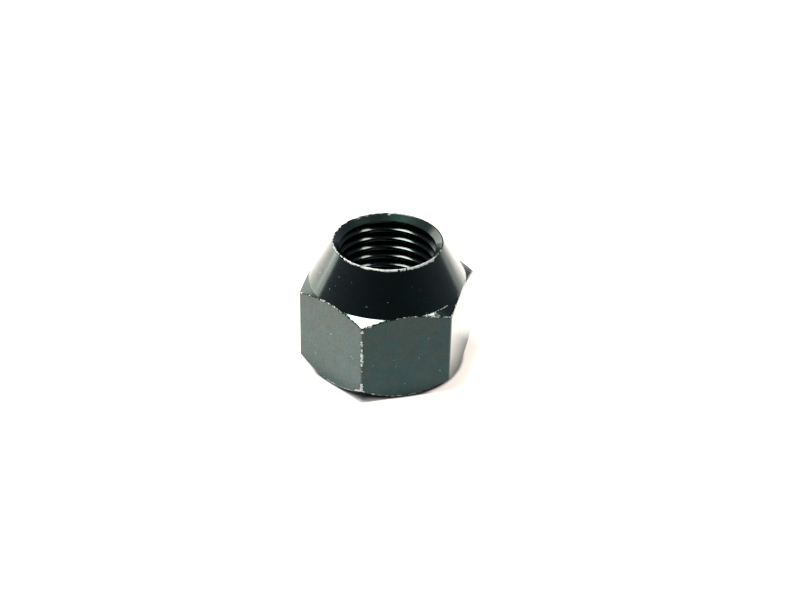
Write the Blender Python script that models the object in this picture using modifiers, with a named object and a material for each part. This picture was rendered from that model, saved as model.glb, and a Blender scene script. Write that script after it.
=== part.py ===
"""Open-ended wheel lug nut: a hexagon with a turned conical seat, standing on its flat end.

The nut is one solid, made the way the real one is. A length of hexagonal bar is turned to an outline that gives
it a chamfered base, a sloping shoulder and a conical seat, and a hole for the wheel stud runs right through it.
The origin is the centre of the base, +Z runs along the stud towards the wheel, and one flat faces -Y.
"""
import math

import bpy

# Hexagonal bar, in metres and degrees
ACROSS_FLATS = 0.0189
CORNER_RADIUS = 0.0003
CORNER_SEGMENTS = 4

# Turned outline
HEIGHT = 0.0164
RIM_DIAMETER = 0.01326
SEAT_DIAMETER = 0.01908
SEAT_ANGLE = 60.0
SHOULDER_ANGLE = 30.0
BASE_DIAMETER = 0.01846
BASE_CHAMFER_ANGLE = 45.0

# Stud hole, at the crests of a 1/2 in thread with 20 threads to the inch
BORE_DIAMETER = 0.0115
COUNTERSINK_ANGLE = 90.0
TOP_MOUTH_DIAMETER = 0.013
BASE_MOUTH_DIAMETER = 0.0134

# Facets round the axis, and how far a tool runs past what it cuts
ROUND_STEPS = 144
OVERRUN = 0.001
MERGE_DISTANCE = 0.00001
SMOOTH_ANGLE = 20.0

BLACK_STEEL = {"Base Color": (0.035, 0.042, 0.042, 1.0), "Metallic": 0.6, "Roughness": 0.42}


def clear_scene():
    """Removes every object that the file opened with."""
    for item in list(bpy.data.objects):
        bpy.data.objects.remove(item, do_unlink=True)


def add_collection(name):
    collection = bpy.data.collections.new(name)
    bpy.context.scene.collection.children.link(collection)
    return collection


def add_material(name, values):
    material = bpy.data.materials.new(name)
    material.use_nodes = True
    shader = material.node_tree.nodes["Principled BSDF"]
    for socket, value in values.items():
        shader.inputs[socket].default_value = value
    material.diffuse_color = values["Base Color"]
    return material


def move_to(item, collection):
    """Leaves the object in one collection only."""
    for owner in list(item.users_collection):
        owner.objects.unlink(item)
    collection.objects.link(item)


def rise(run, angle):
    """Height that a slope gains over a run, its angle counted from the horizontal."""
    return run * math.tan(math.radians(angle))


def hexagonal_bar(name, collection):
    """A bar longer than the nut at both ends, with one flat facing -Y and its six corners rounded."""
    bpy.ops.mesh.primitive_cylinder_add(
        vertices=6,
        radius=ACROSS_FLATS / 2 / math.cos(math.radians(30)),
        depth=HEIGHT + 2 * OVERRUN,
        location=(0, 0, HEIGHT / 2),
        rotation=(0, 0, math.radians(30)),
    )
    bar = bpy.context.object
    bar.name = name
    bar.data.name = name
    bpy.ops.object.transform_apply(location=True, rotation=True, scale=True)
    move_to(bar, collection)
    rounding = bar.modifiers.new("rounded_corners", "BEVEL")
    rounding.width = rise(CORNER_RADIUS, 30)
    rounding.segments = CORNER_SEGMENTS
    rounding.limit_method = "ANGLE"
    rounding.angle_limit = math.radians(40)
    return bar


def turned_cutter(name, outline, collection):
    """A solid of revolution from (radius, height) points that run down its outer side, axis to axis."""
    mesh = bpy.data.meshes.new(name)
    points = [(radius, 0, height) for radius, height in outline]
    mesh.from_pydata(points, [(i, i + 1) for i in range(len(points) - 1)], [])
    cutter = bpy.data.objects.new(name, mesh)
    collection.objects.link(cutter)
    spin = cutter.modifiers.new("turn", "SCREW")
    spin.axis = "Z"
    spin.steps = ROUND_STEPS
    spin.render_steps = ROUND_STEPS
    spin.use_merge_vertices = True
    spin.merge_threshold = MERGE_DISTANCE
    cutter.hide_render = True
    cutter.display_type = "WIRE"
    return cutter


def outside_outline():
    """The turned outline: rim, conical seat, shoulder, clear of the corners, base chamfer and base."""
    rim = RIM_DIAMETER / 2
    seat = SEAT_DIAMETER / 2
    base = BASE_DIAMETER / 2
    clear = ACROSS_FLATS / 2 / math.cos(math.radians(30)) + OVERRUN
    seat_height = HEIGHT - rise(seat - rim, 90 - SEAT_ANGLE / 2)
    return [
        (0, HEIGHT),
        (rim, HEIGHT),
        (seat, seat_height),
        (clear, seat_height - rise(clear - seat, SHOULDER_ANGLE)),
        (clear, rise(clear - base, BASE_CHAMFER_ANGLE)),
        (base, 0),
        (0, 0),
    ]


def stud_hole_outline():
    """The hole with a countersink at each end, both carried past the end faces at their own slope."""
    slope = 90 - COUNTERSINK_ANGLE / 2
    bore = BORE_DIAMETER / 2
    top = TOP_MOUTH_DIAMETER / 2
    base = BASE_MOUTH_DIAMETER / 2
    run = OVERRUN / math.tan(math.radians(slope))
    return [
        (0, HEIGHT + OVERRUN),
        (top + run, HEIGHT + OVERRUN),
        (bore, HEIGHT - rise(top - bore, slope)),
        (bore, rise(base - bore, slope)),
        (base + run, -OVERRUN),
        (0, -OVERRUN),
    ]


def cut(item, tool, operation):
    step = item.modifiers.new(tool.name, "BOOLEAN")
    step.operation = operation
    step.solver = "EXACT"
    step.object = tool


def apply_modifiers(item):
    """Keeps the finished shape as the object's own mesh, smooth where it was turned and sharp at its edges."""
    depsgraph = bpy.context.evaluated_depsgraph_get()
    mesh = bpy.data.meshes.new_from_object(item.evaluated_get(depsgraph))
    item.modifiers.clear()
    item.data = mesh
    mesh.name = item.name
    mesh.shade_smooth()
    mesh.set_sharp_from_angle(angle=math.radians(SMOOTH_ANGLE))


def build():
    clear_scene()
    parts = add_collection("lug_nut")
    cutters = add_collection("lug_nut_cutters")
    nut = hexagonal_bar("lug_nut", parts)
    outside = turned_cutter("turned_outside", outside_outline(), cutters)
    hole = turned_cutter("stud_hole", stud_hole_outline(), cutters)
    cut(nut, outside, "INTERSECT")
    cut(nut, hole, "DIFFERENCE")
    apply_modifiers(nut)
    nut.data.materials.clear()
    nut.data.materials.append(add_material("black_finished_steel", BLACK_STEEL))


build()
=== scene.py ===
import math

import bmesh
import bpy
from mathutils import Matrix, Vector, noise


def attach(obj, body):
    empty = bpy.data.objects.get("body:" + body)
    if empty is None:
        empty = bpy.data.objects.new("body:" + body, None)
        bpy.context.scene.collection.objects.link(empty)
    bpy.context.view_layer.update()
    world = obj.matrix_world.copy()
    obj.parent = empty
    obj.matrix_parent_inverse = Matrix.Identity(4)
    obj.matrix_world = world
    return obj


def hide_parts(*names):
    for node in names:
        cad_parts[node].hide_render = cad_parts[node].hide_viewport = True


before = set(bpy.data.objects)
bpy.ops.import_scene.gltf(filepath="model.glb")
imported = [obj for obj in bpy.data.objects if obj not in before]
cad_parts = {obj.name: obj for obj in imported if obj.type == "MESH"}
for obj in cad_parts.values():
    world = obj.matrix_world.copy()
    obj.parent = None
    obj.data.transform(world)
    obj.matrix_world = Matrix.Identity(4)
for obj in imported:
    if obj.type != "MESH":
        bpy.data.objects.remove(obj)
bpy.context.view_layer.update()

# View
# The nut stands on its flat end on white card, seen from 33 degrees above and a little to the left of the
# flat that faces -Y. The lens is a long one, and the nut sits left of and above the middle of the picture.
PICTURE_WIDTH = 800
PICTURE_HEIGHT = 600
NUT_PIXEL = (387.187, 289.286)
FOCAL_PIXELS = 1714.14
SENSOR_WIDTH_MM = 36.0
VIEW_AZIMUTH = -14.625
VIEW_ELEVATION = 32.765
VIEW_ROLL = 0.906
VIEW_DISTANCE = 0.20868
NUT_MIDDLE = Vector((0, 0, 0.00945))


def direction(azimuth, elevation):
    """Unit vector from an azimuth round the nut and an elevation, in degrees: azimuth 0 is -Y and 90 is +X."""
    turn, lift = math.radians(azimuth), math.radians(elevation)
    return Vector((math.sin(turn) * math.cos(lift), -math.cos(turn) * math.cos(lift), math.sin(lift)))


lens = bpy.data.cameras.new("camera")
lens.sensor_width = SENSOR_WIDTH_MM
lens.lens = FOCAL_PIXELS * SENSOR_WIDTH_MM / PICTURE_WIDTH
lens.clip_start = 0.01
lens.clip_end = 20
camera = bpy.data.objects.new("camera", lens)
bpy.context.scene.collection.objects.link(camera)
to_camera = direction(VIEW_AZIMUTH, VIEW_ELEVATION)
looking = (-to_camera).to_track_quat("-Z", "Y").to_matrix()
rolled = looking @ Matrix.Rotation(math.radians(VIEW_ROLL), 3, "Z")
nut_ray = Vector((NUT_PIXEL[0] - PICTURE_WIDTH / 2, PICTURE_HEIGHT / 2 - NUT_PIXEL[1], -FOCAL_PIXELS))
aside = Vector((0, 0, -1)).rotation_difference(nut_ray.normalized()).to_matrix()
turned = (rolled @ aside.inverted()).to_4x4()
camera.matrix_world = Matrix.Translation(NUT_MIDDLE + to_camera * VIEW_DISTANCE) @ turned
bpy.context.scene.camera = camera
bpy.context.scene.view_settings.view_transform = "Standard"

# Hexagonal bar
# The nut starts as a length of drawn hexagonal steel bar, 18.9 mm across its flats, with one flat facing -Y.
# Drawing leaves its six long corners with a small radius, which is bevelled on before anything is cut. Each
# face is then divided finely, so that the edges can be worn later.
ACROSS_FLATS = 0.0189
HEIGHT = 0.0164
CORNER_RADIUS = 0.0003
CORNER_SEGMENTS = 4
CORNER_STRIP = 0.00015
SAW_ALLOWANCE = 0.001
ROWS = 100
COLUMNS = 34
UPRIGHT_FACE = 0.1


def only(item):
    """Leaves one object selected and active, which is what an operator then works on."""
    bpy.ops.object.select_all(action="DESELECT")
    item.select_set(True)
    bpy.context.view_layer.objects.active = item


def pick(item, kind, wanted):
    """Selects the vertices, edges or faces that a test accepts, in edit mode."""
    mesh = bmesh.from_edit_mesh(item.data)
    for element in (*mesh.verts, *mesh.edges, *mesh.faces):
        element.select = False
    bpy.context.tool_settings.mesh_select_mode = (kind == "verts", kind == "edges", kind == "faces")
    for element in getattr(mesh, kind):
        if wanted(element):
            element.select_set(True)
    bmesh.update_edit_mesh(item.data)


def upright(edge):
    return abs(edge.verts[0].co.z - edge.verts[1].co.z) > HEIGHT / 2


def one_of_the_flats(face):
    return abs(face.normal.z) < UPRIGHT_FACE and face.calc_area() > ACROSS_FLATS * HEIGHT / 4


def across_a_flat(edge):
    level = abs(edge.verts[0].co.z - edge.verts[1].co.z) < SAW_ALLOWANCE / 10
    return level and edge.calc_length() > ACROSS_FLATS / 4


corner_distance = ACROSS_FLATS / 2 / math.cos(math.radians(30))
bpy.ops.object.select_all(action="DESELECT")
bpy.ops.mesh.primitive_cylinder_add(
    vertices=6,
    radius=corner_distance,
    depth=HEIGHT + 2 * SAW_ALLOWANCE,
    end_fill_type="NGON",
    location=(0, 0, HEIGHT / 2),
    rotation=(0, 0, math.radians(30)),
)
nut = bpy.context.object
nut.name = "nut"
bpy.ops.object.transform_apply(location=True, rotation=True, scale=True)
bpy.ops.object.mode_set(mode="EDIT")
pick(nut, "edges", upright)
corner_setback = CORNER_RADIUS * math.tan(math.radians(30))
bpy.ops.mesh.bevel(offset=corner_setback, segments=CORNER_SEGMENTS, affect="EDGES")
pick(nut, "faces", one_of_the_flats)
bpy.ops.mesh.inset(thickness=CORNER_STRIP, use_individual=True)
pick(nut, "edges", upright)
bpy.ops.mesh.subdivide(number_cuts=ROWS - 1)
pick(nut, "edges", across_a_flat)
bpy.ops.mesh.subdivide(number_cuts=COLUMNS - 1)
bpy.ops.object.mode_set(mode="OBJECT")

# Turned outline
# On the lathe the bar gets a 45 degree chamfer at its base, a 30 degree shoulder, the 60 degree conical seat
# that centres the wheel, and a hole right through, countersunk at both ends so that only a thin rim is left.
# Where the cone and the shoulder cut the six flats, they leave the curved edges that crown the hexagon.
RIM_RADIUS = 0.00663
SEAT_RADIUS = 0.00954
BASE_RADIUS = 0.00923
BORE_RADIUS = 0.00575
TOP_MOUTH_RADIUS = 0.0065
BASE_MOUTH_RADIUS = 0.0067
SEAT_SLOPE = 60
SHOULDER_SLOPE = 30
CHAMFER_SLOPE = 45
TOOL_CLEARANCE = 0.0006
FACETS = 300
LATHE_STEP = 0.0003
CORNER_STEP = 0.00008
WELD = 0.000001
RANKING = (1.0, 0.7310585, 0.3915427)


def rise(run, slope):
    """Height gained over a run on a slope given in degrees from the table."""
    return run * math.tan(math.radians(slope))


def in_steps(corners, step):
    """Puts points along straight stretches, a step apart, with a close one beside each corner."""
    points = [corners[0]]
    for (radius, height), (next_radius, next_height) in zip(corners, corners[1:]):
        length = math.hypot(next_radius - radius, next_height - height)
        parts = max(1, round(length / step))
        shares = [part / parts for part in range(1, parts)]
        if length > 3 * CORNER_STEP:
            shares = [CORNER_STEP / length, *shares, 1 - CORNER_STEP / length]
        for share in [*sorted(shares), 1]:
            along = radius + (next_radius - radius) * share
            up = height + (next_height - height) * share
            points.append((along, up))
    return points


def draw_outline(name, points):
    """Draws a line in the XZ plane, one vertex extruded from point to point, and stays in edit mode."""
    bpy.ops.object.select_all(action="DESELECT")
    bpy.ops.mesh.primitive_circle_add(vertices=3, radius=WELD)
    line = bpy.context.object
    line.name = name
    bpy.ops.object.mode_set(mode="EDIT")
    bpy.context.tool_settings.mesh_select_mode = (True, False, False)
    bpy.ops.mesh.select_all(action="SELECT")
    bpy.ops.mesh.merge(type="CENTER")
    bpy.ops.mesh.select_all(action="SELECT")
    radius, height = points[0]
    bpy.ops.transform.translate(value=(radius, 0, height))
    for (radius, height), (next_radius, next_height) in zip(points, points[1:]):
        step = (next_radius - radius, 0, next_height - height)
        bpy.ops.mesh.extrude_vertices_move(TRANSFORM_OT_translate={"value": step})
    return line


def weld_and_face_outwards():
    bpy.ops.mesh.select_all(action="SELECT")
    bpy.ops.mesh.remove_doubles(threshold=WELD)
    bpy.ops.mesh.normals_make_consistent(inside=False)
    bpy.ops.object.mode_set(mode="OBJECT")


def rank(element):
    """A number that an element's place alone gives, whatever order its corners are in."""
    corners = getattr(element, "verts", [element])
    return math.fsum(share * value for vert in corners for share, value in zip(RANKING, vert.co))


def put_in_order(item):
    """Sorts what a cut leaves in any order, so that the next steps do the same in each run."""
    mesh = bmesh.new()
    mesh.from_mesh(item.data)
    for elements in (mesh.verts, mesh.edges, mesh.faces):
        elements.sort(key=rank)
    mesh.to_mesh(item.data)
    mesh.free()


def cut(item, tool, operation):
    """Cuts an object with a tool, or to the tool's shape, and throws the tool away."""
    only(item)
    step = item.modifiers.new(tool.name, "BOOLEAN")
    step.operation = operation
    step.solver = "EXACT"
    step.object = tool
    bpy.ops.object.modifier_apply(modifier=step.name)
    bpy.data.objects.remove(tool, do_unlink=True)
    put_in_order(item)


clear = corner_distance + TOOL_CLEARANCE
seat_foot = HEIGHT - rise(SEAT_RADIUS - RIM_RADIUS, SEAT_SLOPE)
bore_top = HEIGHT - TOP_MOUTH_RADIUS + BORE_RADIUS
bore_foot = BASE_MOUTH_RADIUS - BORE_RADIUS
turned = [(BORE_RADIUS, bore_foot)]
turned += in_steps([(BORE_RADIUS, bore_top), (TOP_MOUTH_RADIUS, HEIGHT)], LATHE_STEP)
turned += in_steps(
    [
        (RIM_RADIUS, HEIGHT),
        (SEAT_RADIUS, seat_foot),
        (clear, seat_foot - rise(clear - SEAT_RADIUS, SHOULDER_SLOPE)),
    ],
    LATHE_STEP,
)
turned += in_steps(
    [
        (clear, rise(clear - BASE_RADIUS, CHAMFER_SLOPE)),
        (BASE_RADIUS, 0),
        (BASE_MOUTH_RADIUS, 0),
        (BORE_RADIUS, bore_foot),
    ],
    LATHE_STEP,
)
blank = draw_outline("turned_outline", turned)
bpy.ops.mesh.select_all(action="SELECT")
bpy.ops.mesh.spin(steps=FACETS, angle=2 * math.pi, center=(0, 0, 0), axis=(0, 0, 1))
weld_and_face_outwards()
cut(nut, blank, "INTERSECT")

# Edge break
# Tumbling the blanks before the thread is cut breaks every sharp outside edge by a few hundredths of a
# millimetre, a little more round the flats than on the turned edges, and so the edges catch the light. The
# few points that the crowded bevels push out past a flat are dissolved.
SLIVER = 0.00003
EDGE_BREAK = 0.00005
HEXAGON_BREAK = 0.00007
EDGE_BREAK_SEGMENTS = 2
SHARPEST_KEPT = 26
LOWEST_BREAK = 0.00041


def sharp(edge):
    return len(edge.link_faces) == 2 and edge.calc_face_angle() > math.radians(SHARPEST_KEPT)


def on_the_hexagon(edge):
    middle = (edge.verts[0].co + edge.verts[1].co) / 2
    radius = math.hypot(middle.x, middle.y)
    round_the_flats = radius > ACROSS_FLATS / 2 - WELD and LOWEST_BREAK < middle.z < seat_foot
    return sharp(edge) and round_the_flats


def beyond_the_flats(vert):
    reach_out = max(abs(vert.co.dot(direction(azimuth, 0))) for azimuth in (0, 60, 120))
    return reach_out > ACROSS_FLATS / 2 + WELD / 10


only(nut)
bpy.ops.object.mode_set(mode="EDIT")
bpy.ops.mesh.select_all(action="SELECT")
bpy.ops.mesh.remove_doubles(threshold=SLIVER)
bpy.ops.mesh.dissolve_degenerate(threshold=WELD)
pick(nut, "edges", on_the_hexagon)
bpy.ops.mesh.bevel(
    offset=HEXAGON_BREAK,
    segments=EDGE_BREAK_SEGMENTS,
    affect="EDGES",
    clamp_overlap=False,
)
pick(nut, "edges", lambda edge: sharp(edge) and not on_the_hexagon(edge))
bpy.ops.mesh.bevel(
    offset=EDGE_BREAK,
    segments=EDGE_BREAK_SEGMENTS,
    affect="EDGES",
    clamp_overlap=False,
)
pick(nut, "verts", beyond_the_flats)
bpy.ops.mesh.dissolve_verts()
bpy.ops.mesh.select_all(action="SELECT")
bpy.ops.mesh.remove_doubles(threshold=WELD)
bpy.ops.object.mode_set(mode="OBJECT")

# Thread
# A right-hand thread of 12.7 mm and 20 turns to the inch, with 60 degree flanks. A forming tap leaves its
# crests nearly round, with only a narrow flat. The tool is the shape of the groove, wound up the hole, and it
# fades out over its last part-turn, under the top countersink.
PITCH = 0.00127
THREAD_RADIUS = 0.00635
CREST_WIDTH = PITCH / 4
CREST_ROUNDING = 0.00009
CREST_STEPS = 3
TOOL_START = 0.0002
ROOT_ROUNDING = 0.00007
FLANK_SLOPE = 30
THREAD_TURNS = 14
THREAD_START = -0.002004
THREAD_TURNED = -54.6
RUN_OUT = 50
RUN_OUT_LEFT = 0.03
BORE_SLIVER = 0.000004



def in_the_hole(vert):
    return math.hypot(vert.co.x, vert.co.y) < THREAD_RADIUS + EDGE_BREAK


groove_half = (PITCH - CREST_WIDTH) / 2
root_half = groove_half - rise(THREAD_RADIUS - BORE_RADIUS, FLANK_SLOPE)
crest_edge = groove_half + rise(CREST_ROUNDING, FLANK_SLOPE)
groove = [(BORE_RADIUS - TOOL_START, crest_edge)]
for step in range(CREST_STEPS + 1):
    lean = math.radians(90 - FLANK_SLOPE) * step / CREST_STEPS
    deeper = CREST_ROUNDING * (1 - math.cos(lean))
    closer = CREST_ROUNDING * math.sin(lean)
    groove.append((BORE_RADIUS + deeper, crest_edge - closer))
groove.append((THREAD_RADIUS - ROOT_ROUNDING, root_half + rise(ROOT_ROUNDING, FLANK_SLOPE)))
groove.append((THREAD_RADIUS, root_half / 2))
tool_points = [(radius, THREAD_START + half) for radius, half in groove]
tool_points += [(radius, THREAD_START - half) for radius, half in reversed(groove)]
thread_tool = draw_outline("thread_tool", tool_points)
bpy.ops.mesh.select_all(action="SELECT")
bpy.ops.mesh.edge_face_add()
bpy.ops.mesh.delete(type="ONLY_FACE")
bpy.ops.object.mode_set(mode="OBJECT")
only(thread_tool)
helix = thread_tool.modifiers.new("helix", "SCREW")
helix.axis = "Z"
helix.steps = FACETS
helix.render_steps = FACETS
helix.iterations = THREAD_TURNS
helix.screw_offset = PITCH
bpy.ops.object.modifier_apply(modifier="helix")
rings = FACETS * THREAD_TURNS
fading_rings = round(FACETS * RUN_OUT / 360)
run_out = thread_tool.vertex_groups.new(name="run_out")
for ring in range(rings - fading_rings, rings + 1):
    first = ring * len(tool_points)
    share = (ring - rings + fading_rings) / fading_rings * (1 - RUN_OUT_LEFT)
    run_out.add(range(first, first + len(tool_points)), share, "REPLACE")
fade = thread_tool.modifiers.new("fade", "CAST")
fade.cast_type = "CYLINDER"
fade.use_z = False
fade.factor = 1.0
fade.radius = 0.0
fade.use_radius_as_size = False
fade.size = BORE_RADIUS - TOOL_START
fade.vertex_group = run_out.name
bpy.ops.object.modifier_apply(modifier="fade")
thread_tool.rotation_euler.z = math.radians(THREAD_TURNED)
bpy.ops.object.transform_apply(location=False, rotation=True, scale=False)
bpy.ops.object.mode_set(mode="EDIT")
pick(thread_tool, "edges", lambda edge: edge.is_boundary)
bpy.ops.mesh.fill_holes(sides=0)
weld_and_face_outwards()
cut(nut, thread_tool, "DIFFERENCE")
only(nut)
bpy.ops.object.mode_set(mode="EDIT")
pick(nut, "verts", in_the_hole)
bpy.ops.mesh.remove_doubles(threshold=BORE_SLIVER)
bpy.ops.object.mode_set(mode="OBJECT")

# Worn edges
# The finish is thinnest on the edges, and handling has knocked it off there in broken stretches, with small
# chips in the steel. Each stretch runs from one place to another along its edge, in degrees round the nut or
# in metres up a corner, and has how bare it is and how far it reaches. The hidden sides are worn in patches.
# The crests of the thread are rubbed smooth, its roots are dull and darkened with painted shade,
# and the countersinks are rougher.
RIM_WEAR = [
    (-104, -92, 0.8, 0.0001),
    (-92, -84, 1.2, 0.00014),
    (-84, -70, 0.75, 0.0001),
    (-70, -56, 1.2, 0.00013),
    (-56, -38, 1.2, 0.00014),
    (-38, -20, 1.5, 0.00015),
    (-20, 6, 1.6, 0.00017),
    (6, 31, 1.8, 0.00016),
    (31, 35, 1.7, 0.00016),
    (35, 39, 2.6, 0.00028),
    (39, 42, 1.9, 0.0002),
    (42, 64, 0.8, 0.0001),
    (64, 104, 0.35, 0.00008),
    (104, 140, 0.5, 0.00009),
    (140, 158, 0.6, 0.00009),
    (160, 165, 1.4, 0.00022),
    (170, 180, 1.1, 0.00014),
    (-180, -168, 1.2, 0.00015),
    (-162, -150, 0.9, 0.00015),
    (-146, -138, 0.8, 0.00016),
    (-134, -122, 1.1, 0.0002),
    (-118, -106, 0.8, 0.00014),
]
SEAT_WEAR = [
    (14, 22, 0.55, 0.00005),
    (22, 34, 0.62, 0.00006),
]
TOP_EDGE_WEAR = [
    (-90, -88, 1.1, 0.00014),
    (-82, -80, 0.9, 0.0001),
    (-76, -70, 0.7, 0.00005),
    (-70, -67, 1.0, 0.00007),
    (-67, -61, 0.75, 0.00005),
    (-61, -46, 0.75, 0.00005),
    (-46, -38, 0.65, 0.00005),
    (-38, -32, 0.5, 0.00008),
    (-28, -24, 0.9, 0.0001),
    (-18, -12, 0.8, 0.00005),
    (-10, -1, 0.5, 0.00005),
    (-1, 12, 0.62, 0.00005),
    (12, 17, 0.9, 0.00007),
    (17, 22.5, 1.3, 0.00011),
    (22.5, 26, 0.7, 0.00006),
    (26, 29.5, 0.95, 0.00008),
]
LOW_EDGE_WEAR = [
    (-84, -64, 0.6, 0.00007),
    (-64, -42, 0.85, 0.00008),
    (-42, -36, 1.0, 0.0001),
    (-36, -31, 1.3, 0.00016),
    (-30, -26, 0.9, 0.0001),
    (-24.5, -22, 1.2, 0.00014),
    (-22, -8, 0.7, 0.00007),
    (-8, 1, 1.0, 0.00009),
    (1, 12, 0.7, 0.00007),
    (12, 28, 0.5, 0.00006),
]
FRONT_CORNER_WEAR = [
    (0.01, 0.0104, 1.4, 0.00018),
    (0.0081, 0.0089, 1.25, 0.00014),
    (0.0072, 0.0077, 1.25, 0.00013),
    (0.0058, 0.0072, 1.35, 0.00017),
    (0.0054, 0.0057, 1.25, 0.00013),
    (0.0051, 0.0053, 1.25, 0.00013),
    (0.0044, 0.0047, 1.25, 0.00013),
    (0.0021, 0.0028, 1.35, 0.00018),
    (0.0014, 0.0021, 1.25, 0.0002),
]
BEAD_SIZE = 0.00022
BEAD_CONTRAST = 1.5
CLEAN_CORNERS = (30, -90)
HIDDEN_REACH = 0.00012
HIDDEN_PATCH = 0.0011
HIDDEN_BARENESS = 0.5
HIDDEN_CONTRAST = 1.2
SHOWN_SIDE = (-90, 30)
FRONT_CORNER = -30
CORNER_REACH = 15
FADED_OUT = 3
CHIP_SIZE = 0.00025
CHIP_CONTRAST = 1.6
CHIP_DEPTH = 0.00009
DEEPEST_REACH = 0.0002
MOUTH_MARGIN = 0.00003
RUBBED_DEPTH = 0.00005
RUBBED_FADE = 0.00005
CREST_POLISH = 0.45
SMOOTH_BELOW = 35

flats = [direction(azimuth, 0) for azimuth in range(0, 360, 60)]


def worn_stretch(place, gap, stretches):
    """How bare an edge is, and how chipped, at a place along it and a gap away from it."""
    bare = chipped = 0
    for start, end, bareness, reach in stretches:
        if start <= place <= end and gap < FADED_OUT * reach:
            near = bareness * math.exp(-((gap / reach) ** 2))
            bare = max(bare, near)
            chipped = max(chipped, near * min(1, reach / DEEPEST_REACH))
    return bare, chipped


def worn_anyhow(point, gap):
    """The same for an edge that the picture doesn't show, in patches that a noise gives."""
    if gap > FADED_OUT * HIDDEN_REACH:
        return 0, 0
    bareness = HIDDEN_BARENESS + HIDDEN_CONTRAST * noise.noise(point / HIDDEN_PATCH)
    near = max(0, bareness) * math.exp(-((gap / HIDDEN_REACH) ** 2))
    return near, near * HIDDEN_REACH / DEEPEST_REACH


def wear_at(point):
    """Bareness and chipping of the rim, and of all the other outside edges, at a point of the surface."""
    radius = math.hypot(point.x, point.y)
    azimuth = math.degrees(math.atan2(point.x, -point.y))
    reach_out = sorted((point.dot(flat) for flat in flats), reverse=True)
    to_flat = max(0, ACROSS_FLATS / 2 - reach_out[0])
    to_next = max(0, ACROSS_FLATS / 2 - reach_out[1])
    to_cone = (HEIGHT - point.z - rise(radius - RIM_RADIUS, SEAT_SLOPE)) * math.cos(math.radians(SEAT_SLOPE))
    if radius > SEAT_RADIUS:
        to_cone = seat_foot - point.z - rise(radius - SEAT_RADIUS, SHOULDER_SLOPE)
        to_cone *= math.cos(math.radians(SHOULDER_SLOPE))
    to_chamfer = (point.z - (radius - BASE_RADIUS)) * math.cos(math.radians(CHAMFER_SLOPE))
    top_gap = math.hypot(to_flat, to_cone)
    low_gap = math.hypot(to_flat, to_chamfer)
    corner_gap = math.hypot(to_flat, to_next)
    rim_gap = math.hypot(radius - RIM_RADIUS, point.z - HEIGHT)
    seat_gap = math.hypot(radius - SEAT_RADIUS, point.z - seat_foot)
    rim = worn_stretch(azimuth, rim_gap, RIM_WEAR)
    others = [worn_stretch(azimuth, seat_gap, SEAT_WEAR)]
    if SHOWN_SIDE[0] < azimuth < SHOWN_SIDE[1]:
        others.append(worn_stretch(azimuth, top_gap, TOP_EDGE_WEAR))
        others.append(worn_stretch(azimuth, low_gap, LOW_EDGE_WEAR))
    else:
        others.append(worn_anyhow(point, min(top_gap, low_gap)))
    if abs(azimuth - FRONT_CORNER) < CORNER_REACH:
        others.append(worn_stretch(point.z, corner_gap, FRONT_CORNER_WEAR))
    elif min(abs(azimuth - corner) for corner in CLEAN_CORNERS) > CORNER_REACH:
        others.append(worn_anyhow(point, corner_gap))
    return rim, max(others)


rim_chips = nut.vertex_groups.new(name="rim_chips")
edge_chips = nut.vertex_groups.new(name="edge_chips")
bareness = [0.0] * len(nut.data.vertices)
for vertex in nut.data.vertices:
    if math.hypot(vertex.co.x, vertex.co.y) > TOP_MOUTH_RADIUS - EDGE_BREAK:
        (rim_bare, rim_chipped), (edge_bare, edge_chipped) = wear_at(vertex.co)
        beads = 1 + BEAD_CONTRAST * noise.noise(vertex.co / BEAD_SIZE)
        bareness[vertex.index] = max(rim_bare, edge_bare) * beads
        rim_chips.add([vertex.index], min(1, max(0, rim_chipped * beads)), "REPLACE")
        edge_chips.add([vertex.index], min(1, max(0, edge_chipped * beads)), "REPLACE")
# Inside the hole the polish falls from the crests to 0 in the roots; the lower it is, the more painted shade
# darkens the finish there.
polish_and_root_shade = [1.0] * len(nut.data.vertices)
tooled = [0.0] * len(nut.data.vertices)
for vertex in nut.data.vertices:
    radius = math.hypot(vertex.co.x, vertex.co.y)
    below_mouth = HEIGHT - TOP_MOUTH_RADIUS + radius - vertex.co.z
    above_foot = vertex.co.z - (BASE_MOUTH_RADIUS - radius)
    if radius < TOP_MOUTH_RADIUS and min(below_mouth, above_foot) > MOUTH_MARGIN:
        past_crest = radius - BORE_RADIUS - RUBBED_DEPTH
        polish_and_root_shade[vertex.index] = CREST_POLISH * min(1, max(0, 1 - past_crest / RUBBED_FADE))
    elif radius < TOP_MOUTH_RADIUS:
        tooled[vertex.index] = 1.0
for name, values in (("bareness", bareness), ("polish_and_root_shade", polish_and_root_shade), ("tooled", tooled)):
    nut.data.attributes.new(name, "FLOAT", "POINT").data.foreach_set("value", values)
chips = bpy.data.textures.new("chips", "CLOUDS")
chips.noise_scale = CHIP_SIZE
chips.noise_depth = 1
chips.contrast = CHIP_CONTRAST
chips.use_clamp = True
for group, way in ((rim_chips, "Z"), (edge_chips, "NORMAL")):
    dents = nut.modifiers.new(group.name, "DISPLACE")
    dents.texture = chips
    dents.texture_coords = "LOCAL"
    dents.vertex_group = group.name
    dents.direction = way
    dents.mid_level = 0
    dents.strength = -CHIP_DEPTH
    only(nut)
    bpy.ops.object.modifier_apply(modifier=dents.name)

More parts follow.
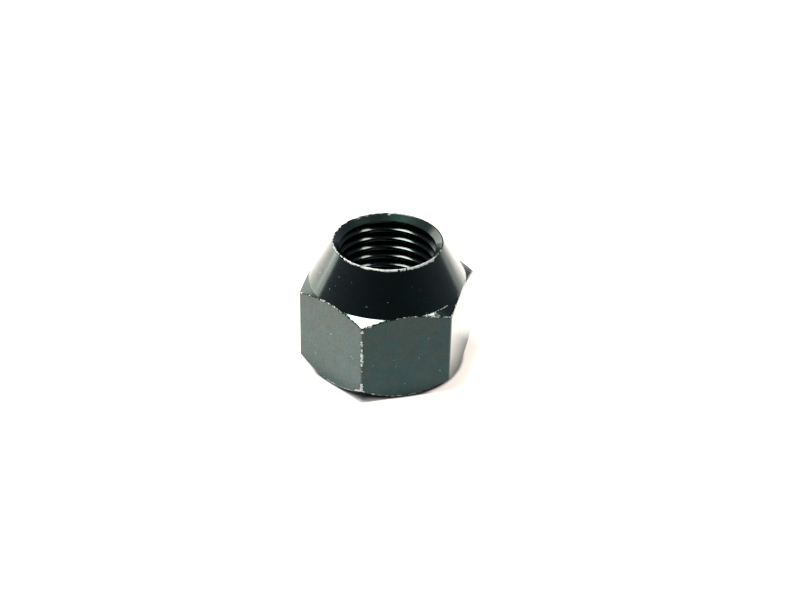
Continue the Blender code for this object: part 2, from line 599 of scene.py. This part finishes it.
# What a chip pushes out past a flat is pressed level with it.
bpy.ops.object.mode_set(mode="EDIT")
for azimuth in range(0, 360, 60):
    along_flat = direction(azimuth + 90, 0)
    out_of_flat = direction(azimuth, 0)
    pick(nut, "verts", lambda vert: vert.co.dot(out_of_flat) > ACROSS_FLATS / 2)
    bpy.ops.transform.resize(
        value=(1, 0, 1),
        orient_type="GLOBAL",
        orient_matrix_type="GLOBAL",
        orient_matrix=(along_flat, -out_of_flat, (0, 0, 1)),
        center_override=out_of_flat * ACROSS_FLATS / 2,
    )
pick(nut, "edges", lambda edge: edge.is_boundary)
bpy.ops.mesh.fill_holes(sides=0)
bpy.ops.object.mode_set(mode="OBJECT")
bpy.ops.object.shade_smooth_by_angle(angle=math.radians(SMOOTH_BELOW))
weighted = nut.modifiers.new("weighted", "WEIGHTED_NORMAL")
weighted.keep_sharp = True
weighted.weight = 100
bpy.ops.object.modifier_apply(modifier=weighted.name)

# Black oxide finish
# The steel is blackened in a hot salt bath, which turns its surface to a thin, hard skin of magnetite with a
# trace of oil. To the eye it is nearly black, with a cool green cast, and glossy: the skin, with its high
# index of 2.4, mirrors what lies behind it at a slant, and lets the dark metal show face on. It is faintly
# mottled and smudged, nicked here and there, and rubbed through to bare, matt steel on the edges.
FINISH_COLOUR = "#1d4b4b"
FINISH_WARM = "#33463f"
# The root colour is painted shade, for the roots of the thread and round bare steel.
ROOT_SHADE_COLOUR = "#06080c"
STEEL_COLOUR = "#ebf1ed"
FINISH_ROUGHNESS = (0.15, 0.21)
TOOLED_ROUGHNESS = 0.16
STEEL_ROUGHNESS = 0.62
SKIN_INDEX = 2.4
SKIN_ROUGHNESS = 0.12
SKIN_FACE_ON = 0.18
TONE_SIZE = 0.0018
TONE_RISE = 20.0
TONE_SPAN = (0.45, 0.8)
SMUDGE_SIZE = 0.0016
SMUDGE_SPAN = (0.35, 0.65)
SMUDGE_DEPTH = 0.06
# The real grain is a few thousandths of a millimetre, too fine to show, so it is drawn as coarse as it needs.
GRAIN_SIZE = 0.00022
GRAIN_SPAN = (0.3, 0.7)
GRAIN_CONTRAST = 0.18
GRAIN_DEPTH = 0.0000016
GRAIN_STRENGTH = 0.3
FLAKE_SIZE = 0.0001
FLAKE_SHARES = (0.25, 1.45)
BARE_SPAN = (0.42, 0.58)
# Round bare steel the finish is darkened with painted shade.
HALO_SHADE_SPAN = (0.1, 0.4)
HALO_SHADE_DEPTH = 0.85
SPECK_SPACING = 0.0019
SPECK_SIZE = 0.00005
SPECKS_FROM = 0.55
NICK_BARENESS = 0.9
# Each nick has an azimuth, a radius, a height and a size.
NICKS = [
    (-59.0, 0.00945, 0.00734, 0.00011),
    (-75.6, 0.00981, 0.00315, 0.00008),
    (-38.4, 0.01018, 0.0059, 0.00008),
    (-37.4, 0.01022, 0.0057, 0.00007),
    (-23.4, 0.01026, 0.0052, 0.00008),
    (-22.7, 0.01032, 0.0052, 0.00007),
    (-7.5, 0.00953, 0.00473, 0.00006),
    (-0.7, 0.00945, 0.00202, 0.00008),
    (15.8, 0.00982, 0.00808, 0.00007),
    (24.1, 0.01035, 0.0032, 0.00009),
    (-9.0, 0.00956, 0.00564, 0.00006),
    (9.4, 0.00958, 0.00545, 0.00007),
    (15.2, 0.00945, 0.01151, 0.00009),
    (-30.5, 0.0089, 0.01246, 0.0001),
    (-29.6, 0.0089, 0.01245, 0.00008),
    (-61.8, 0.00775, 0.01445, 0.00009),
    (-66.2, 0.00869, 0.01284, 0.0001),
    (-87.3, 0.00842, 0.01329, 0.0001),
    (-61.6, 0.00833, 0.01346, 0.00007),
    (-47.1, 0.00775, 0.01446, 0.00006),
    (13.9, 0.00803, 0.01397, 0.00006),
    (7.3, 0.00775, 0.01445, 0.00006),
    (16.8, 0.00962, 0.01131, 0.00016),
    (18.4, 0.00962, 0.01131, 0.0002),
    (19.8, 0.00966, 0.01129, 0.00022),
    (21.4, 0.0097, 0.01127, 0.00018),
    (34.8, 0.00666, 0.01634, 0.00016),
    (37.2, 0.00672, 0.01624, 0.00018),
    (38.6, 0.0066, 0.0164, 0.0002),
    (40.2, 0.0067, 0.01628, 0.00016),
    (164.6, 0.00642, 0.01632, 0.00026),
    (-176.0, 0.00662, 0.0164, 0.00013),
    (-157.0, 0.00662, 0.0164, 0.00018),
    (-154.0, 0.00664, 0.0164, 0.00014),
    (-143.0, 0.00664, 0.0164, 0.00018),
    (-131.0, 0.00664, 0.0164, 0.0002),
    (-127.0, 0.00664, 0.0164, 0.00016),
    (-113.0, 0.00664, 0.0164, 0.00018),
    (-103.0, 0.00664, 0.0164, 0.00016),
    (-164.8, 0.00621, 0.01486, 0.0001),
    (-162.0, 0.0059, 0.01492, 0.00012),
    (-158.1, 0.0062, 0.01488, 0.0001),
]


def linear(colour):
    """A colour written as sRGB hex, as the linear RGBA that a shader takes."""
    shares = [int(colour[place:place + 2], 16) / 255 for place in (1, 3, 5)]
    return [share / 12.92 if share <= 0.04045 else ((share + 0.055) / 1.055) ** 2.4 for share in shares] + [1]


def add(tree, kind, settings=None, **inputs):
    """Adds a node, sets its properties, and gives each named input a value or links an output to it."""
    node = tree.nodes.new(kind)
    for name, value in (settings or {}).items():
        setattr(node, name, value)
    for name, value in inputs.items():
        key = int(name[1:]) if name[1:].isdigit() else name.replace("_", " ")
        if isinstance(value, bpy.types.NodeSocket):
            tree.links.new(value, node.inputs[key])
        else:
            node.inputs[key].default_value = value
    return node


TIMES = {"operation": "MULTIPLY"}
PLUS = {"operation": "ADD"}
LARGER = {"operation": "MAXIMUM"}
TIMES_AND_PLUS = {"operation": "MULTIPLY_ADD"}
COLOURS = {"data_type": "RGBA"}

finish = bpy.data.materials.new("black_oxide_steel")
finish.use_nodes = True
tree = finish.node_tree
shader = tree.nodes["Principled BSDF"]
place = add(tree, "ShaderNodeTexCoord").outputs["Object"]
tone = add(tree, "ShaderNodeTexNoise", Vector=place, Scale=1 / TONE_SIZE, Detail=3.0, Roughness=0.55)
grain = add(tree, "ShaderNodeTexNoise", Vector=place, Scale=1 / GRAIN_SIZE, Detail=3.0, Roughness=0.6)
flakes = add(tree, "ShaderNodeTexNoise", Vector=place, Scale=1 / FLAKE_SIZE, Detail=2.0, Roughness=0.6)
up = add(tree, "ShaderNodeSeparateXYZ", Vector=place).outputs["Z"]
# Besides its random patches, the tone turns from green at the foot to warmer towards the top.
tone_level = add(tree, "ShaderNodeMath", TIMES_AND_PLUS, _0=up, _1=TONE_RISE, _2=tone.outputs["Fac"])
tone_share = add(
    tree,
    "ShaderNodeMapRange",
    Value=tone_level.outputs[0],
    From_Min=TONE_SPAN[0],
    From_Max=TONE_SPAN[1],
)
body = add(
    tree,
    "ShaderNodeMix",
    COLOURS,
    _0=tone_share.outputs[0],
    _6=linear(FINISH_COLOUR),
    _7=linear(FINISH_WARM),
)
grained = add(
    tree,
    "ShaderNodeMapRange",
    Value=grain.outputs["Fac"],
    From_Min=GRAIN_SPAN[0],
    From_Max=GRAIN_SPAN[1],
    To_Min=1 - GRAIN_CONTRAST,
    To_Max=1 + GRAIN_CONTRAST,
)
smudge = add(
    tree,
    "ShaderNodeTexNoise",
    Vector=place,
    Scale=1 / SMUDGE_SIZE,
    Detail=4.0,
    Roughness=0.6,
    Distortion=0.6,
)
smudged = add(
    tree,
    "ShaderNodeMapRange",
    Value=smudge.outputs["Fac"],
    From_Min=SMUDGE_SPAN[0],
    From_Max=SMUDGE_SPAN[1],
    To_Min=1 - SMUDGE_DEPTH,
    To_Max=1 + SMUDGE_DEPTH,
)
mottle = add(tree, "ShaderNodeMath", TIMES, _0=grained.outputs[0], _1=smudged.outputs[0])
mottled = add(
    tree,
    "ShaderNodeVectorMath",
    {"operation": "SCALE"},
    _0=body.outputs[2],
    Scale=mottle.outputs[0],
)

# Bare steel shows where the wear of an edge, torn by the flakes, is deep enough, and in specks and nicks.
worn = add(tree, "ShaderNodeAttribute", {"attribute_name": "bareness"}).outputs["Fac"]
ragged = add(
    tree,
    "ShaderNodeMapRange",
    Value=flakes.outputs["Fac"],
    From_Min=GRAIN_SPAN[0],
    From_Max=GRAIN_SPAN[1],
    To_Min=FLAKE_SHARES[0],
    To_Max=FLAKE_SHARES[1],
)
bare_level = add(tree, "ShaderNodeMath", TIMES, _0=worn, _1=ragged.outputs[0])
bare = add(
    tree,
    "ShaderNodeMapRange",
    Value=bare_level.outputs[0],
    From_Min=BARE_SPAN[0],
    From_Max=BARE_SPAN[1],
)
spots = add(tree, "ShaderNodeTexVoronoi", Vector=place, Scale=1 / SPECK_SPACING)
spot_size = add(tree, "ShaderNodeSeparateColor", Color=spots.outputs["Color"])
spot_reach = add(
    tree,
    "ShaderNodeMapRange",
    Value=spot_size.outputs[0],
    From_Min=SPECKS_FROM,
    From_Max=1.0,
    To_Min=0.0,
    To_Max=SPECK_SIZE / SPECK_SPACING,
)
speck = add(
    tree,
    "ShaderNodeMath",
    {"operation": "LESS_THAN"},
    _0=spots.outputs["Distance"],
    _1=spot_reach.outputs[0],
)
shown = add(tree, "ShaderNodeMath", LARGER, _0=bare.outputs[0], _1=speck.outputs[0])
for azimuth, radius, height, size in NICKS:
    middle = direction(azimuth, 0) * radius + Vector((0, 0, height))
    away = add(tree, "ShaderNodeVectorMath", {"operation": "DISTANCE"}, _0=place, _1=middle)
    nick = add(
        tree,
        "ShaderNodeMapRange",
        Value=away.outputs["Value"],
        From_Max=size,
        To_Min=NICK_BARENESS,
        To_Max=0.0,
    )
    shown = add(tree, "ShaderNodeMath", LARGER, _0=nick.outputs[0], _1=shown.outputs[0])

# Close to bare steel the skin is dull and the finish dark, a painted shade like the shadows beside the chips,
# and the roots of the thread are darkened with the same painted shade.
painted_halo_shade = add(
    tree,
    "ShaderNodeMapRange",
    Value=bare_level.outputs[0],
    From_Min=HALO_SHADE_SPAN[0],
    From_Max=HALO_SHADE_SPAN[1],
    To_Max=HALO_SHADE_DEPTH,
)
outside_halo_shade = add(
    tree,
    "ShaderNodeMath",
    {"operation": "SUBTRACT", "use_clamp": True},
    _0=1.0,
    _1=painted_halo_shade.outputs[0],
)
polish_and_root_shade_level = add(tree, "ShaderNodeAttribute", {"attribute_name": "polish_and_root_shade"}).outputs["Fac"]
tooled = add(tree, "ShaderNodeAttribute", {"attribute_name": "tooled"}).outputs["Fac"]
unshaded_share = add(tree, "ShaderNodeMath", TIMES, _0=polish_and_root_shade_level, _1=outside_halo_shade.outputs[0])
# Painted shade: in the roots of the thread and round bare steel the finish turns to the root colour.
finish_with_painted_shade = add(
    tree,
    "ShaderNodeMix",
    COLOURS,
    _0=unshaded_share.outputs[0],
    _6=linear(ROOT_SHADE_COLOUR),
    _7=mottled.outputs[0],
)
colour = add(
    tree,
    "ShaderNodeMix",
    COLOURS,
    _0=shown.outputs[0],
    _6=finish_with_painted_shade.outputs[2],
    _7=linear(STEEL_COLOUR),
)
gloss = add(
    tree,
    "ShaderNodeMapRange",
    Value=grain.outputs["Fac"],
    From_Min=GRAIN_SPAN[0],
    From_Max=GRAIN_SPAN[1],
    To_Min=FINISH_ROUGHNESS[0],
    To_Max=FINISH_ROUGHNESS[1],
)
cut_gloss = add(
    tree,
    "ShaderNodeMath",
    TIMES_AND_PLUS,
    _0=tooled,
    _1=TOOLED_ROUGHNESS,
    _2=gloss.outputs[0],
)
roughness = add(
    tree,
    "ShaderNodeMix",
    {"data_type": "FLOAT"},
    _0=shown.outputs[0],
    _2=cut_gloss.outputs[0],
    _3=STEEL_ROUGHNESS,
)
relief = add(
    tree,
    "ShaderNodeBump",
    Strength=GRAIN_STRENGTH,
    Distance=GRAIN_DEPTH,
    Height=grain.outputs["Fac"],
)
slant = add(tree, "ShaderNodeLayerWeight", Blend=0.5)
skin_share = add(tree, "ShaderNodeMapRange", Value=slant.outputs["Facing"], To_Min=SKIN_FACE_ON)
skin_left = add(tree, "ShaderNodeMapRange", Value=polish_and_root_shade_level, From_Max=CREST_POLISH)
skin = add(tree, "ShaderNodeMath", TIMES, _0=skin_share.outputs[0], _1=skin_left.outputs[0])
skin = add(tree, "ShaderNodeMath", TIMES, _0=skin.outputs[0], _1=outside_halo_shade.outputs[0])
skin = add(tree, "ShaderNodeMath", TIMES, _0=skin.outputs[0], _1=mottle.outputs[0])
tree.links.new(colour.outputs[2], shader.inputs["Base Color"])
tree.links.new(roughness.outputs[0], shader.inputs["Roughness"])
tree.links.new(relief.outputs[0], shader.inputs["Normal"])
tree.links.new(skin.outputs[0], shader.inputs["Coat Weight"])
shader.inputs["Metallic"].default_value = 1.0
shader.inputs["Coat IOR"].default_value = SKIN_INDEX
shader.inputs["Coat Roughness"].default_value = SKIN_ROUGHNESS
nut.data.materials.clear()
nut.data.materials.append(finish)
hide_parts("lug_nut")
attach(nut, "root")

# Table
# The nut stands on white card, which glows to the camera and in reflections, so that it ends in white. Close
# to the nut that glow is shaped into painted shade: a warm patch to the right and a dark line where the base
# lifts off. In what the nut reflects, the glow paints shade in front and close to the nut, and light at the
# back.
TABLE_SIZE = 4
CARD_COLOUR = "#c3c6c7"
CARD_ROUGHNESS = 0.9
GLOW_COLOUR = "#fff4e9"
GLOW_LEFT = 1.1
GLOW_RIGHT = 0.83
LEFT_TO_RIGHT = (-0.002, 0.005)
GLOW_BEYOND = 0.5
BEYOND = (0.0106, 0.0125)
CONTACT_LEVEL = 0.22
CONTACT_SHADE = (0.0082, 0.0094)
CONTACT_FADE = (0.006, 0.0072)
CONTACT_EDGE = (0.0094, 0.0096)
CONTACT_RING = (0.0093, 0.0099)
MIRROR_FRONT = 0.05
FRONT_EDGE = (0.92, 0.7)
MIRROR_SIDE = 0.72
MIRROR_BACK = 1.3
BACK_AZIMUTH = 150
BACK_EDGE = (-0.4, 0.2)
SHADE_REFLECTED = (0.0083, 0.0126)
FAR = (0.035, 0.16)
FAR_SHARES = (0.8, 0.22)
FAR_LEFT_TO_RIGHT = (-0.3, 0.3)
SOFT_STEP = {"interpolation_type": "SMOOTHSTEP"}
TOWARDS = {"operation": "DOT_PRODUCT"}

bpy.ops.object.select_all(action="DESELECT")
bpy.ops.mesh.primitive_plane_add(size=TABLE_SIZE)
table = bpy.context.object
table.name = "table"
card = bpy.data.materials.new("white_card")
card.use_nodes = True
tree = card.node_tree
shader = tree.nodes["Principled BSDF"]
shader.inputs["Base Color"].default_value = linear(CARD_COLOUR)
shader.inputs["Roughness"].default_value = CARD_ROUGHNESS
shader.inputs["Specular IOR Level"].default_value = 0.0
table.data.materials.append(card)
spot = add(tree, "ShaderNodeTexCoord").outputs["Object"]
outward = add(tree, "ShaderNodeVectorMath", {"operation": "NORMALIZE"}, _0=spot).outputs[0]
from_axis = add(tree, "ShaderNodeVectorMath", {"operation": "LENGTH"}, _0=spot).outputs["Value"]
reach = None
for flat in flats[:3]:
    across = add(tree, "ShaderNodeVectorMath", TOWARDS, _0=spot, _1=flat).outputs["Value"]
    across = add(tree, "ShaderNodeMath", {"operation": "ABSOLUTE"}, _0=across).outputs[0]
    if reach is not None:
        across = add(tree, "ShaderNodeMath", LARGER, _0=across, _1=reach).outputs[0]
    reach = across

# Each soft step runs from one level to another as a distance crosses a span.
to_right = add(tree, "ShaderNodeVectorMath", TOWARDS, _0=spot, _1=direction(90, 0)).outputs["Value"]
to_corner = add(tree, "ShaderNodeVectorMath", TOWARDS, _0=spot, _1=direction(FRONT_CORNER, 0)).outputs["Value"]
facing_right = add(tree, "ShaderNodeVectorMath", TOWARDS, _0=outward, _1=direction(90, 0)).outputs["Value"]
facing_front = add(tree, "ShaderNodeVectorMath", TOWARDS, _0=outward, _1=direction(0, 0)).outputs["Value"]
to_back = direction(BACK_AZIMUTH, 0)
facing_back = add(tree, "ShaderNodeVectorMath", TOWARDS, _0=outward, _1=to_back).outputs["Value"]
steps = {}
for name, distance, span, low, high in [
    ("open", to_right, LEFT_TO_RIGHT, GLOW_LEFT, GLOW_RIGHT),
    ("against_nut", reach, CONTACT_SHADE, 0.0, CONTACT_LEVEL),
    ("contact", to_corner, CONTACT_FADE, "open", "against_nut"),
    ("near", reach, CONTACT_EDGE, "contact", "open"),
    ("beyond", reach, BEYOND, 0.0, GLOW_BEYOND),
    ("ring", from_axis, CONTACT_RING, 0.0, 1.0),
    ("far_share", facing_right, FAR_LEFT_TO_RIGHT, *FAR_SHARES),
    ("mirrored_front", facing_front, FRONT_EDGE, MIRROR_FRONT, 1.0),
    ("mirrored_back", facing_back, BACK_EDGE, MIRROR_SIDE, MIRROR_BACK),
    ("mirrored_near", reach, SHADE_REFLECTED, 0.0, 1.0),
    ("mirrored_far", from_axis, FAR, 1.0, "far_share"),
]:
    step = add(
        tree,
        "ShaderNodeMapRange",
        SOFT_STEP,
        Value=distance,
        From_Min=span[0],
        From_Max=span[1],
        To_Min=steps.get(low, low),
        To_Max=steps.get(high, high),
    )
    steps[name] = step.outputs[0]
lit = add(tree, "ShaderNodeMath", PLUS, _0=steps["near"], _1=steps["beyond"])
seen_glow = add(tree, "ShaderNodeMath", TIMES, _0=lit.outputs[0], _1=steps["ring"])
mirrored_round = add(tree, "ShaderNodeMath", TIMES, _0=steps["mirrored_front"], _1=steps["mirrored_back"])
mirrored_out = add(tree, "ShaderNodeMath", TIMES, _0=steps["mirrored_near"], _1=steps["mirrored_far"])
mirrored_glow = add(tree, "ShaderNodeMath", TIMES, _0=mirrored_round.outputs[0], _1=mirrored_out.outputs[0])
paths = add(tree, "ShaderNodeLightPath")
mirrored = add(
    tree,
    "ShaderNodeMath",
    LARGER,
    _0=paths.outputs["Is Glossy Ray"],
    _1=paths.outputs["Is Transmission Ray"],
)
seen_part = add(tree, "ShaderNodeMath", TIMES, _0=paths.outputs["Is Camera Ray"], _1=seen_glow.outputs[0])
mirrored_part = add(tree, "ShaderNodeMath", TIMES, _0=mirrored.outputs[0], _1=mirrored_glow.outputs[0])
glow = add(tree, "ShaderNodeMath", PLUS, _0=seen_part.outputs[0], _1=mirrored_part.outputs[0])
tree.links.new(glow.outputs[0], shader.inputs["Emission Strength"])
shader.inputs["Emission Color"].default_value = linear(GLOW_COLOUR)

# Lamps
# Two soft lamps hang overhead with a gap between them, which is the dark bar between the highlights of the
# thread. Wide soft ones stand low at the back left and light the left flat. Each has an azimuth, an
# elevation, a width in degrees, a strength and a tint.
LAMPS = [
    ("overhead_left", -98, 75.5, 26, 3.0, "#fff8f2"),
    ("overhead_right", 75, 61.5, 13, 0.45, "#fff8f2"),
    ("back_left", -148, 11, 42, 0.42, "#fffaf2"),
    ("back_left_edge", -148, 11, 56, 0.42, "#fffaf2"),
    ("low_left", -134, 1, 26, 0.18, "#fffaf2"),
]
for name, azimuth, elevation, width, strength, tint in LAMPS:
    light = bpy.data.lights.new(name, "SUN")
    light.energy = strength
    light.angle = math.radians(width)
    light.color = linear(tint)[:3]
    lamp = bpy.data.objects.new(name, light)
    bpy.context.scene.collection.objects.link(lamp)
    lamp.rotation_euler = direction(azimuth, elevation).to_track_quat("Z", "Y").to_euler()

# Room
# The room is dim and bluish, darkest in front, which is what the black cone shows, with a low glow over the far
# edge of the card. To the camera it is white.
ROOM_COLOUR = "#dde5f8"
ROOM_LIGHT = 0.22
ROOM_DARK = 0.08
ROOM_DARK_AZIMUTH = 0
ROOM_DARK_ELEVATION = 32
ROOM_SPAN = (-0.3, 1.0)
HORIZON_GLOW = 0.45
HORIZON_HEIGHT = 0.16
HORIZON_AZIMUTH = 165
HORIZON_BACK = (0.72, 0.93)
room = bpy.data.worlds.new("room")
bpy.context.scene.world = room
room.use_nodes = True
tree = room.node_tree
ray = add(tree, "ShaderNodeTexCoord").outputs["Generated"]
dark_side = direction(ROOM_DARK_AZIMUTH, ROOM_DARK_ELEVATION)
ahead = add(tree, "ShaderNodeVectorMath", TOWARDS, _0=ray, _1=dark_side)
dimness = add(
    tree,
    "ShaderNodeMapRange",
    Value=ahead.outputs["Value"],
    From_Min=ROOM_SPAN[0],
    From_Max=ROOM_SPAN[1],
    To_Min=ROOM_LIGHT,
    To_Max=ROOM_DARK,
)
low_band = add(
    tree,
    "ShaderNodeMapRange",
    SOFT_STEP,
    Value=add(tree, "ShaderNodeSeparateXYZ", Vector=ray).outputs["Z"],
    From_Min=0.0,
    From_Max=HORIZON_HEIGHT,
    To_Min=HORIZON_GLOW,
    To_Max=0.0,
)
behind = add(tree, "ShaderNodeVectorMath", TOWARDS, _0=ray, _1=direction(HORIZON_AZIMUTH, 0))
back_band = add(
    tree,
    "ShaderNodeMapRange",
    SOFT_STEP,
    Value=behind.outputs["Value"],
    From_Min=HORIZON_BACK[0],
    From_Max=HORIZON_BACK[1],
    To_Min=0.0,
    To_Max=1.0,
)
horizon = add(tree, "ShaderNodeMath", TIMES, _0=low_band.outputs[0], _1=back_band.outputs[0])
level = add(tree, "ShaderNodeMath", PLUS, _0=dimness.outputs[0], _1=horizon.outputs[0])
paths = add(tree, "ShaderNodeLightPath")
wall = add(tree, "ShaderNodeMath", LARGER, _0=level.outputs[0], _1=paths.outputs["Is Camera Ray"])
wall_colour = add(
    tree,
    "ShaderNodeMix",
    COLOURS,
    _0=paths.outputs["Is Camera Ray"],
    _6=linear(ROOM_COLOUR),
    _7=(1, 1, 1, 1),
)
tree.links.new(wall_colour.outputs[2], tree.nodes["Background"].inputs["Color"])
tree.links.new(wall.outputs[0], tree.nodes["Background"].inputs["Strength"])
